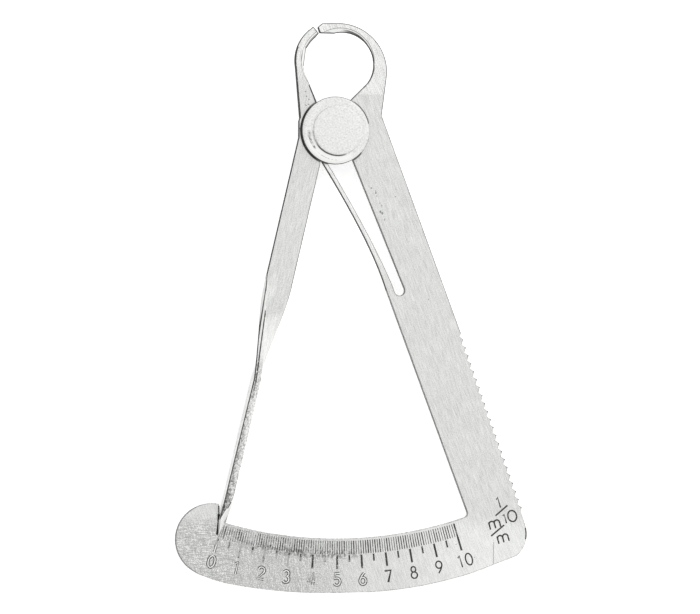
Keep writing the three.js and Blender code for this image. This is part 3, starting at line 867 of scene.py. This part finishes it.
def drawn_closer(bm):
    """Moves the corners of the needle, its flat and the root of the jaw."""
    slimmed = set()
    for vertex in bm.verts:
        down, side = vertex.co.dot(ARM_DOWN), vertex.co.dot(ARM_RIGHT) + ARM_OFFSET
        top = vertex.co.z > SHEET_FRONT + 0.2 * mm
        levelled(vertex)
        if top and abs(down - FLAT_ENDS) < 0.1 * mm:
            vertex.co -= FLAT_HIGHER * ARM_DOWN
        if top and abs(down - FLAT_STARTS) < 0.1 * mm:
            vertex.co += FLAT_LOWER * ARM_DOWN
        if down > SLIM_FROM and side > -0.1 * mm and vertex.co.z > 2.5 * mm:
            growth = min(1, (down / mm - SLIM_GROWS_FROM) / SLIM_GROWS_OVER)
            slimmer = 0.35 + 0.17 * growth if side > 0.3 * mm else 0.2
            vertex.co -= slimmer * mm * ARM_RIGHT
            slimmed.update(vertex.link_faces)
        if down > LEAN_FROM and side < -0.2 * mm:
            vertex.co -= (0.24 if top else 0.08) * mm * min(1, (NEEDLE_END - down) / LEAN_OVER) * ARM_RIGHT
        if (vertex.co.xy - JAW_ROOT).length < 0.05 * mm:
            vertex.co.x -= ROOT_WIDER
    bmesh.ops.triangulate(bm, faces=list(slimmed))
    bm.normal_update()


def upper_jaw_edge(bm, side, inset):
    """Painted shade strokes beside the jaw's upper edge whose wall faces that side, -1 for the left."""
    strokes = []
    for edge in bm.edges:
        (a, b), walls = [v.co for v in edge.verts], [f for f in edge.link_faces if abs(f.normal.z) < 0.3]
        level = abs(a.z - SHEET_FRONT) < 0.01 * mm and abs(b.z - SHEET_FRONT) < 0.01 * mm
        on_jaw = min(a.y, b.y) > JAW_SHADE_FROM and max(a.y, b.y) < JAW_SHADE_TO
        if level and walls and side * walls[0].normal.x > 0.3 and on_jaw:
            inwards = -inset * walls[0].normal.xy
            strokes.append([tuple(a.xy + inwards), tuple(b.xy + inwards)])
    return strokes


jaw_edges = {}

# %% [markdown]
# The twist comes from the drawing as slanting triangles, which would show as facets. Its rows are kept, the slants
# between them are taken out, and each row is divided across the strip, so that the sheet bends smoothly.

# %% Pointer arm
TWIST_CUTS, ROW_LENGTH, NEEDLE_KEPT_FROM = 7, 4 * mm, 66 * mm


def finer_twist(bm):
    """Divides the twisted faces across the strip, so that they bend smoothly."""
    drawn_closer(bm)
    jaw_edges["outer"], jaw_edges["inner"] = upper_jaw_edge(bm, -1, 0.17 * mm), upper_jaw_edge(bm, 1, 0.15 * mm)
    without_short_edges(bm, [v for v in bm.verts if v.co.dot(ARM_DOWN) < NEEDLE_KEPT_FROM])
    rolled, rows, slants = [], [], []
    for face in bm.faces:
        middle = face.calc_center_median()
        if 0 < twist_share(middle) < 1 and abs(face.normal.dot(sheet_direction(middle))) > 0.45:
            rolled.append(face)
    twisted = set(rolled)
    for edge in bm.edges:
        level = (edge.verts[1].co - edge.verts[0].co).normalized().dot(ARM_DOWN)
        if edge.calc_length() > ROW_LENGTH and abs(level) < 0.03 and any(f in twisted for f in edge.link_faces):
            rows.append(edge)
        elif len(edge.link_faces) == 2 and all(f in twisted for f in edge.link_faces):
            slants.append(edge)
    bmesh.ops.dissolve_edges(bm, edges=slants, use_verts=False)
    print("twist: rows", len(rows), "slants", len(slants))
    bmesh.ops.subdivide_edges(bm, edges=rows, cuts=TWIST_CUTS, use_grid_fill=True)
    bm.normal_update()
    bm.faces.ensure_lookup_table()


pointer_arm = dressed(
    "pointer_arm",
    [pointer_steel, edge_steel_and_shade, blade_steel, bevel_steel],
    0.13 * mm,
    twisted_sheet,
    on_needle,
    finer_twist,
    blade_edge,
    twisted_normal,
)
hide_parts("pointer_arm")
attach(pointer_arm, "pointer")

# %% [markdown]
# The return spring is a tongue of the same sheet that stays joined to the limb at its root. The model turns it on a
# small hinge there, with 0.3 mm left out. Here the tongue is drawn down to meet the limb.

# %% Return spring
ROOT_GAP = 0.3 * mm


def at_root(point):
    return abs(along_limb(point) - (TONGUE_STUB - ROOT_GAP)) < 0.02 * mm


return_spring = dressed(
    "return_spring",
    [tongue_steel, edge_steel_and_shade],
    0.09 * mm,
    flat_sheet,
    lambda edge: all(at_root(v.co) for v in edge.verts),
)
moved = 0
for vertex in return_spring.data.vertices:
    if at_root(vertex.co):
        vertex.co += LIMB_DOWN * ROOT_GAP
        moved += 1
print("root corners drawn to the limb:", moved)
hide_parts("return_spring")
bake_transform(return_spring)

# %% [markdown]
# The pivot is closed by a rivet with a broad flat head that stands on a thick disc. The disc's rim gets the dark grey
# of the other cut edges as painted shade, but keeps the bright finish at its right as painted light. The head was
# turned all over, so its rounded edge gets the bright finish too. The disc's rim isn't quite round the rivet: it lies
# a third of a millimetre further left, so only its rim is moved there.

# %% Disc, rivet and rear washer
def turned_face(face):
    return 0 if abs(face.normal.z) > 0.2 else 1


def disc_edge(face):
    """Painted light and shade: the eased edge keeps the bright finish where it faces right, and gets the dark grey
    elsewhere.
    """
    middle = face.calc_center_median()
    return 0 if middle.x > 0 and -0.75 < middle.y / middle.x < 0.25 else 1


for node, ease, rim in (
    ("front_washer", 0.1 * mm, edge_steel_and_shade),
    ("pivot_rivet", 0.05 * mm, disc_steel),
    ("rear_washer", 0.04 * mm, edge_steel_and_shade),
):
    piece = dressed(node, [disc_steel, rim], ease, turned_face, repaint=disc_edge)
    for vertex in piece.data.vertices:
        if node == "front_washer" and vertex.co.xy.length > BOSS_RADIUS:
            vertex.co.x += DISC_SHIFT
    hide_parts(node)
    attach(piece, "frame")

# %% [markdown]
# The lines and numbers were cut shallow and filled with ink. Where thumbs and the needle rub, the ink has flaked off,
# most at the scale's left end. One recipe serves all of it: noise and the place on the scale decide how much is gone,
# and a few numbers say how dark the ink is and how fast it is lost.

# %% Ink and worn engraving
FINE_END = 74.9


def ink(name, level, lost, flaking, bare):
    """Ink that is rubbed away towards the scale's left end, by the share lost. bare is the grey under it."""
    trace = Finish(name)
    x = trace.axis("X")
    past_fine = trace.length(trace.seen_flat()).ramp(FINE_END * mm, (FINE_END + 0.1) * mm)
    outer = past_fine * x.ramp(3 * mm, -3 * mm) * 0.35
    flakes = trace.noise((0.28 * mm, 0.28 * mm, 1 * mm), detail=3.0)
    patches = trace.noise((1.6 * mm, 1.6 * mm, 2 * mm), detail=1.0)
    worn = x.ramp(5 * mm, -14 * mm) * lost + outer * lost + (flakes - 0.5) * 2.2 + (patches - 0.5) * flaking
    inked = trace.mixed(flakes.ramp(0.35, 0.65), grey(level), grey(level * 2))
    return trace.dull_metal(trace.mixed(worn.ramp(0.2, 0.6) * 0.85, inked, grey(bare)), 0.5 + flakes * 0.1, 0.25)


line_ink = ink("line_ink", level=0.03, lost=0.4, flaking=1.8, bare=0.5)
number_ink = ink("number_ink", level=0.03, lost=0.0, flaking=1.2, bare=0.35)
groove_edge = ink("groove_edge_ink", level=0.04, lost=0.05, flaking=1.9, bare=0.6)
edge_shade = ink("edge_shade", level=0.05, lost=0.0, flaking=1.4, bare=0.5)
firm_shade = ink("firm_shade", level=0.05, lost=0.0, flaking=0.6, bare=0.4)

# %% [markdown]
# The scale has a line for every tenth of a millimetre, a longer one for each half and the longest for each whole
# millimetre. A jaw opening m turns the pointer by 2 asin(m / 2r), where r is the distance from the pivot to the tips.
# Lines that repeat by a rule are work for Geometry Nodes: points are set out by their number, and a thin box is
# placed on each. The boxes stand a hundredth of a millimetre proud, as ink in a shallow cut does when it is seen.

# %% Inputs of the line tree
ZERO_ANGLE = math.radians(-16.31)
MARK_PROUD, MARK_SUNK = 0.01 * mm, 0.02 * mm

line_tree = bpy.data.node_groups.new("scale_lines", "GeometryNodeTree")
line_sizes = {
    "Tip radius": TIP_RADIUS,
    "Zero angle": ZERO_ANGLE,
    "Start radius": BAND_INNER + 0.45 * mm,
    "Fine end": FINE_END * mm,
    "Half end": 76.3 * mm,
    "Whole end": 77.5 * mm,
    "Fine width": 0.155 * mm,
    "Thick width": 0.36 * mm,
    "Level": SHEET_FRONT,
}
line_tree.interface.new_socket("Geometry", in_out="INPUT", socket_type="NodeSocketGeometry")
identifiers = {}
for name in line_sizes:
    socket = line_tree.interface.new_socket(name, in_out="INPUT", socket_type="NodeSocketFloat")
    identifiers[name] = socket.identifier
line_tree.interface.new_socket("Geometry", in_out="OUTPUT", socket_type="NodeSocketGeometry")

lines = Tree(line_tree)
size_of = {name: lines.node("NodeGroupInput", output=name) for name in line_sizes}
number = lines.node("GeometryNodeInputIndex")
print("inputs of the line tree:", ", ".join(line_sizes))


# %% One rank of lines
UNEVEN_SEED = 4


def rank(count, first, step, start, end, width, lift, uneven=0.0):
    """One rank of lines: boxes from start to end radius, first to last reading, of more or less even width."""
    reading = first + number * step
    angle = (reading * mm / (size_of["Tip radius"] * 2)).maths("ARCSINE") * 2 + size_of["Zero angle"]
    middle = (start + end) * 0.5
    height = MARK_PROUD + MARK_SUNK + lift
    spot = lines.node(
        "CombineXYZ",
        {
            "X": angle.maths("SINE") * middle,
            "Y": angle.maths("COSINE") * middle * -1,
            "Z": size_of["Level"] + (MARK_PROUD + lift - MARK_SUNK) / 2,
        },
    )
    points = lines.node("GeometryNodePoints", {"Count": count, "Position": spot})
    box_size = lines.node("CombineXYZ", {"X": width, "Y": end - start, "Z": height})
    box = lines.node("GeometryNodeMeshCube", {"Size": box_size})
    turn = lines.node("FunctionNodeEulerToRotation", {0: lines.node("CombineXYZ", {"Z": angle})})
    share = lines.node("FunctionNodeRandomValue", {2: 1 - uneven, 3: 1 + uneven, "Seed": UNEVEN_SEED}, output=1)
    scale = lines.node("CombineXYZ", {"X": share, "Y": 1.0, "Z": 1.0})
    values = {"Points": points, "Instance": box, "Rotation": turn, "Scale": scale}
    return lines.node("GeometryNodeInstanceOnPoints", values)


# %% Scale lines
start, fine_end = size_of["Start radius"], size_of["Fine end"]
below = fine_end + 0.15 * mm
fine = rank(101, 0.0, 0.1, start, fine_end, size_of["Fine width"], 0.0, 0.4)
halves = rank(10, 0.5, 1.0, below, size_of["Half end"], size_of["Thick width"] * 0.85, 0.0)
wholes = rank(11, 0.0, 1.0, below, size_of["Whole end"], size_of["Thick width"], 0.0)
last = rank(1, 10.0, 1.0, start, size_of["Whole end"], size_of["Thick width"] * 0.8, 0.002 * mm)
every_line = lines.node("GeometryNodeJoinGeometry")
join = every_line.socket.node
for each in (fine, halves, wholes, last):
    line_tree.links.new(each.socket, join.inputs[0])
solid_lines = lines.node("GeometryNodeRealizeInstances", {"Geometry": every_line})
inked = lines.node("GeometryNodeSetMaterial", {"Geometry": solid_lines, "Material": line_ink})
lines.node("NodeGroupOutput", {0: inked})

scale_lines = in_scene("scale_lines", bpy.data.meshes.new("scale_lines"))
maker = scale_lines.modifiers.new("lines", "NODES")
maker.node_group = line_tree
for name, value in line_sizes.items():
    maker[identifiers[name]] = value
line_mesh = made_mesh(scale_lines)
scale_lines.modifiers.clear()
scale_lines.data = line_mesh
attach(scale_lines, "frame")
print("scale lines, faces:", len(line_mesh.polygons))

# %% [markdown]
# The numbers and the unit, tenths of a millimetre, were cut by a machine that follows single strokes with a round
# cutter. A font would look printed, so each sign is a few strokes here: lines and bows in a box one high.

# %% Strokes of the signs
def bow(x, y, wide, high, start, end, steps=12):
    angles = np.radians(np.linspace(start, end, steps + 1))
    return [(x + wide * math.cos(a), y + high * math.sin(a)) for a in angles]


SIGNS = {
    "0": (0.62, [bow(0.31, 0.5, 0.28, 0.5, 90, 450, 24)]),
    "1": (0.3, [[(0.02, 0.84), (0.2, 1.0), (0.2, 0.0)]]),
    "2": (0.6, [bow(0.3, 0.72, 0.26, 0.28, 165, -35) + [(0.03, 0.0), (0.58, 0.0)]]),
    "3": (0.6, [bow(0.28, 0.76, 0.22, 0.24, 150, -80) + bow(0.28, 0.27, 0.27, 0.27, 80, -150)]),
    "4": (0.62, [[(0.44, 0.0), (0.44, 1.0), (0.03, 0.3), (0.6, 0.3)]]),
    "5": (0.6, [[(0.52, 1.0), (0.14, 1.0), (0.09, 0.55)] + bow(0.28, 0.31, 0.27, 0.31, 125, -150)]),
    "6": (0.6, [[(0.46, 1.0), (0.2, 0.7)] + bow(0.3, 0.3, 0.26, 0.3, 150, 510, 20)]),
    "7": (0.6, [[(0.03, 0.98), (0.57, 0.98), (0.24, 0.0)]]),
    "8": (0.6, [bow(0.3, 0.76, 0.2, 0.23, -90, 270, 18), bow(0.3, 0.27, 0.26, 0.27, 90, 450, 20)]),
    "9": (0.6, [[(0.14, 0.0), (0.4, 0.3)] + bow(0.3, 0.7, 0.26, 0.3, -30, 330, 20)]),
    "o": (0.96, [bow(0.5, 0.58, 0.47, 0.6, 90, 450, 24)]),
    "m": (
        0.86,
        [
            [(0.05, 0.08), (0.05, 0.62)],
            bow(0.24, 0.44, 0.19, 0.19, 160, 0, 8) + [(0.43, 0.08)],
            bow(0.62, 0.44, 0.19, 0.19, 160, 0, 8) + [(0.81, 0.08)],
        ],
    ),
}
print("signs:", " ".join(SIGNS))

# %% [markdown]
# A stroke becomes a curve with a round section, which is pressed flat and sunk until only its top shows. A groove cut
# into the sheet would be truer, but so shallow that no one could see the difference, and it would break up the face.

# %% Strokes on the steel
def spots(*places):
    """Places on the sheet, given in millimetres."""
    return [(x * mm, y * mm) for x, y in places]


def cut_strokes(name, strokes, half_width, rise, finish, level=SHEET_FRONT, body="frame"):
    """Strokes in metres on the sheet, as one mesh of bars. They are pressed flat until they rise so little."""
    curve = bpy.data.curves.new(name, "CURVE")
    curve.dimensions = "3D"
    curve.bevel_depth, curve.bevel_resolution, curve.use_fill_caps = half_width, 2, True
    for stroke in strokes:
        spline = curve.splines.new("POLY")
        spline.points.add(len(stroke) - 1)
        for point, (x, y) in zip(spline.points, stroke):
            point.co = (x, y, 0, 1)
    holder = in_scene(name, curve)
    mesh = made_mesh(holder)
    bpy.data.objects.remove(holder)
    for vertex in mesh.vertices:
        vertex.co.z = level + vertex.co.z * rise / half_width
    mesh.materials.clear()
    mesh.materials.append(finish)
    made = in_scene(name, mesh)
    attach(made, body)
    print(name, "strokes:", len(strokes), "faces:", len(mesh.polygons))


def set_out(text, x, y, height, turn, gap=0.2):
    """The strokes of a text whose middle lies at this point of the sheet, turned anticlockwise."""
    wide = sum(SIGNS[sign][0] for sign in text) + gap * (len(text) - 1)
    cos, sin = math.cos(turn), math.sin(turn)
    placed, at = [], -wide / 2
    for sign in text:
        for stroke in SIGNS[sign][1]:
            sized = [((at + u) * height, (v - 0.5) * height) for u, v in stroke]
            placed.append([(x + u * cos - v * sin, y + u * sin + v * cos) for u, v in sized])
        at += SIGNS[sign][0] + gap
    return placed


# %% [markdown]
# Each number stands upright on the line from the pivot to its mark. Numbers 0 to 6 have lost their ink, so they get a
# bright stroke inside a dark outline. Numbers 7 to 10 keep dark strokes, and the 7 was cut deeper than the others.

# %% Numbers along the scale
NUMBER_RADIUS, NUMBER_HEIGHT = 79.3 * mm, 2.1 * mm
ZERO_LINE = (76.2 * mm, 77.6 * mm)  # what is left of the whole mark at 0


def scale_angle(reading):
    return ZERO_ANGLE + 2 * math.asin(reading * mm / (2 * TIP_RADIUS))


crisp, bold, worn = [], [], []
for reading in range(11):
    angle = scale_angle(reading)
    x, y = NUMBER_RADIUS * math.sin(angle), -NUMBER_RADIUS * math.cos(angle)
    kind = worn if reading < 7 else bold if reading == 7 else crisp
    kind.extend(set_out(str(reading), x + (reading > 9) * 0.18 * mm, y, NUMBER_HEIGHT, angle, 0.3))
worn.append([(r * math.sin(ZERO_ANGLE), -r * math.cos(ZERO_ANGLE)) for r in ZERO_LINE])
bright_groove = cut_steel("bright_grooves", 0.85, 1.0, 0.5)
cut_strokes("number_7", bold, 0.19 * mm, 0.015 * mm, number_ink)
cut_strokes("numbers_8_to_10", crisp, 0.13 * mm, 0.015 * mm, number_ink)
cut_strokes("numbers_0_to_6_outline", worn, 0.27 * mm, 0.011 * mm, groove_edge)
cut_strokes("numbers_0_to_6", worn, 0.12 * mm, 0.02 * mm, bright_groove)

# %% Unit above the scale's right end
UNIT_TURN = math.radians(15.5)
UNIT_SIGNS = (("1", 28.9, -65.8, 1.85), ("1o", 30.95, -68.4, 1.65), ("m", 28.1, -69.3, 2.5), ("m", 29.6, -71.8, 2.5))

unit = []
for sign, x, y, height in UNIT_SIGNS:
    unit += set_out(sign, x * mm, y * mm, height * mm, UNIT_TURN)
unit += [spots((28.35, -68.1), (30.5, -66.25)), spots((27.55, -71.7), (29.9, -69.75))]
cut_strokes("unit_sign", unit, 0.14 * mm, 0.015 * mm, number_ink)

# %% [markdown]
# Marks of use remain, and all of them are strokes too. Where the needle rests against the stop, the narrow gap is
# painted as a dark line of shade. A stroke is enough for it, because the gap is narrower than anything a reader could
# look into.

# %% Painted shade at the stop
dirt_and_shade = cut_steel("packed_dirt_and_shade", 0.01, 0.02, 0.005)
at_stop = spots((-20.98, -67.8), (-20.99, -69.3), (-21.26, -71.4))
# painted shade in the gap at the stop, and above it
cut_strokes("shade_at_stop", [at_stop], 0.23 * mm, 0.012 * mm, dirt_and_shade)
cut_strokes("shade_above_stop", [spots((-21.0, -66.3), (-20.98, -67.9))], 0.14 * mm, 0.012 * mm, edge_shade)

# %% [markdown]
# Painted shade runs along both upper edges of the pointer's jaw, and small dents sit at its root. A little dirt
# sits where the arm leaves the disc, and a fine line of painted shade marks where the needle's flat begins. They
# ride with the pointer.

# %% Painted shade and marks on the pointer
JAW_DENTS = ((-5.47, 6.07), (-5.02, 5.53), (-5.54, 4.48), (-5.07, 4.64), (-5.61, 6.9))
BLADE_TOP = 4.06 * mm

# painted shade beside the jaw's two upper edges
cut_strokes("outer_jaw_edge_shade", jaw_edges["outer"], 0.07 * mm, 0.008 * mm, edge_shade, body="pointer")
cut_strokes("inner_jaw_edge_shade", jaw_edges["inner"], 0.09 * mm, 0.008 * mm, firm_shade, body="pointer")
pricks = [spots((x - 0.03, y - 0.05), (x + 0.03, y + 0.05)) for x, y in JAW_DENTS]
cut_strokes("dents_at_jaw_root", pricks, 0.12 * mm, 0.006 * mm, dirt_and_shade, body="pointer")
beside_disc = spots((-5.78, -2.75), (-5.6, -3.0))
cut_strokes("dirt_at_disc", [beside_disc], 0.2 * mm, 0.01 * mm, edge_shade, body="pointer")
flat_start = []
for side, down in spots((0.36, 68.25), (0.0, 69.5)):
    flat_start.append(tuple(((side - ARM_OFFSET) * ARM_RIGHT + down * ARM_DOWN).xy))
cut_strokes("needle_flat_start_shade", [flat_start], 0.09 * mm, 0.01 * mm, edge_shade, BLADE_TOP, "pointer")

# %% [markdown]
# The tips of the thumb teeth get painted shade on their lower side, which faces away from the light. Their places are
# read from the solid, so the strokes follow the teeth if the drawing changes.

# %% Painted shade at the tooth tips
TIP_SHARE, TIP_INSET = 0.45, 0.16 * mm  # where in its pitch a tooth's tip lies, and how far in its trace does

frame_corners = [v.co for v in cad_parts["scale_frame"].data.vertices]
tips = {}
for corner in frame_corners:
    step = (along_limb(corner) - FIRST_NOTCH) / TOOTH_PITCH
    at_tip = 0 < step < TEETH and abs(step % 1 - TIP_SHARE) < 0.1
    if at_tip and corner.dot(LIMB_RIGHT) > RIGHT_OF_SLOT:
        tips[int(step)] = corner.xy - TIP_INSET * LIMB_RIGHT.xy
down_limb = LIMB_DOWN.xy * mm
# painted shade at each tooth tip
tip_shade = [[tuple(tip - 0.03 * down_limb), tuple(tip + 0.12 * down_limb)] for tip in tips.values()]
cut_strokes("tooth_tip_shade", tip_shade, 0.1 * mm, 0.008 * mm, edge_shade)

# %% [markdown]
# The foot's corner is knocked, and one long scratch crosses the scale near its right end. The knock follows the
# corner's own outline, which is again read from the solid.

# %% Knock and scratch
KNOCK_RIGHT_OF, KNOCK_FROM, KNOCK_TO, KNOCK_INSET = 33, -72.4, -67.8, 0.17  # in millimetres

outline = {(round(co.x / mm, 2), round(co.y / mm, 2)) for co in frame_corners}
corner = sorted((y, x) for x, y in outline if x > KNOCK_RIGHT_OF and KNOCK_FROM < y < KNOCK_TO)
print("corners of the knock:", corner)
knock = spots(*((x - KNOCK_INSET, y) for y, x in corner))
cut_strokes("knocked_corner", [knock], 0.12 * mm, 0.008 * mm, edge_shade)
cut_strokes("scratch", [spots((27.99, -72.8), (27.97, -76.6))], 0.035 * mm, 0.004 * mm, edge_shade)

# %% [markdown]
# The plain Standard view shows colours as they were set.

bpy.context.view_layer.update()

bpy.context.scene.view_settings.view_transform = "Standard"
